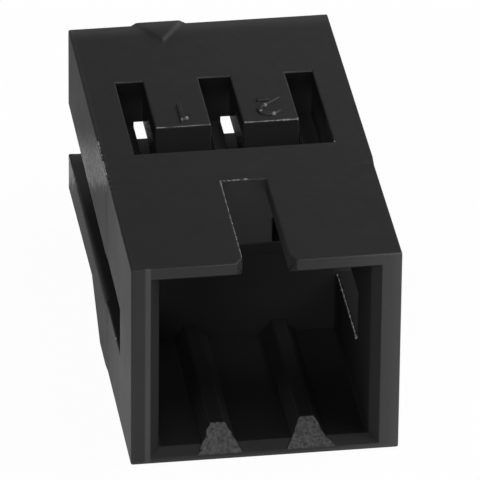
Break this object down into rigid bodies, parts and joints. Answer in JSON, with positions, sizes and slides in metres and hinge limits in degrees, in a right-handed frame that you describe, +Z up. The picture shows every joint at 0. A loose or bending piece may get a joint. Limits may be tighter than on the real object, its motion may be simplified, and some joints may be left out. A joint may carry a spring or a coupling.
{
  "type": "pin header housing",
  "caption": "Black moulded housing of a shrouded wire pin header, with a latch slot, floor ribs, side grooves and sprung tongues over empty contact passages.",
  "frame": {"origin": "middle of the footprint, on the base", "axes": "+Z up through the top with the window, +Y from the mating mouth to the contact entries, +X to the right of someone facing the mouth"},
  "size_m": [0.0076, 0.014, 0.0065],
  "materials": {
    "housing_plastic": "black glass-filled thermoplastic, fine eroded mould grain with a soft satin sheen"
  },
  "bodies": {
    "root": {"housing": "housing_plastic"}
  },
  "joints": []
}
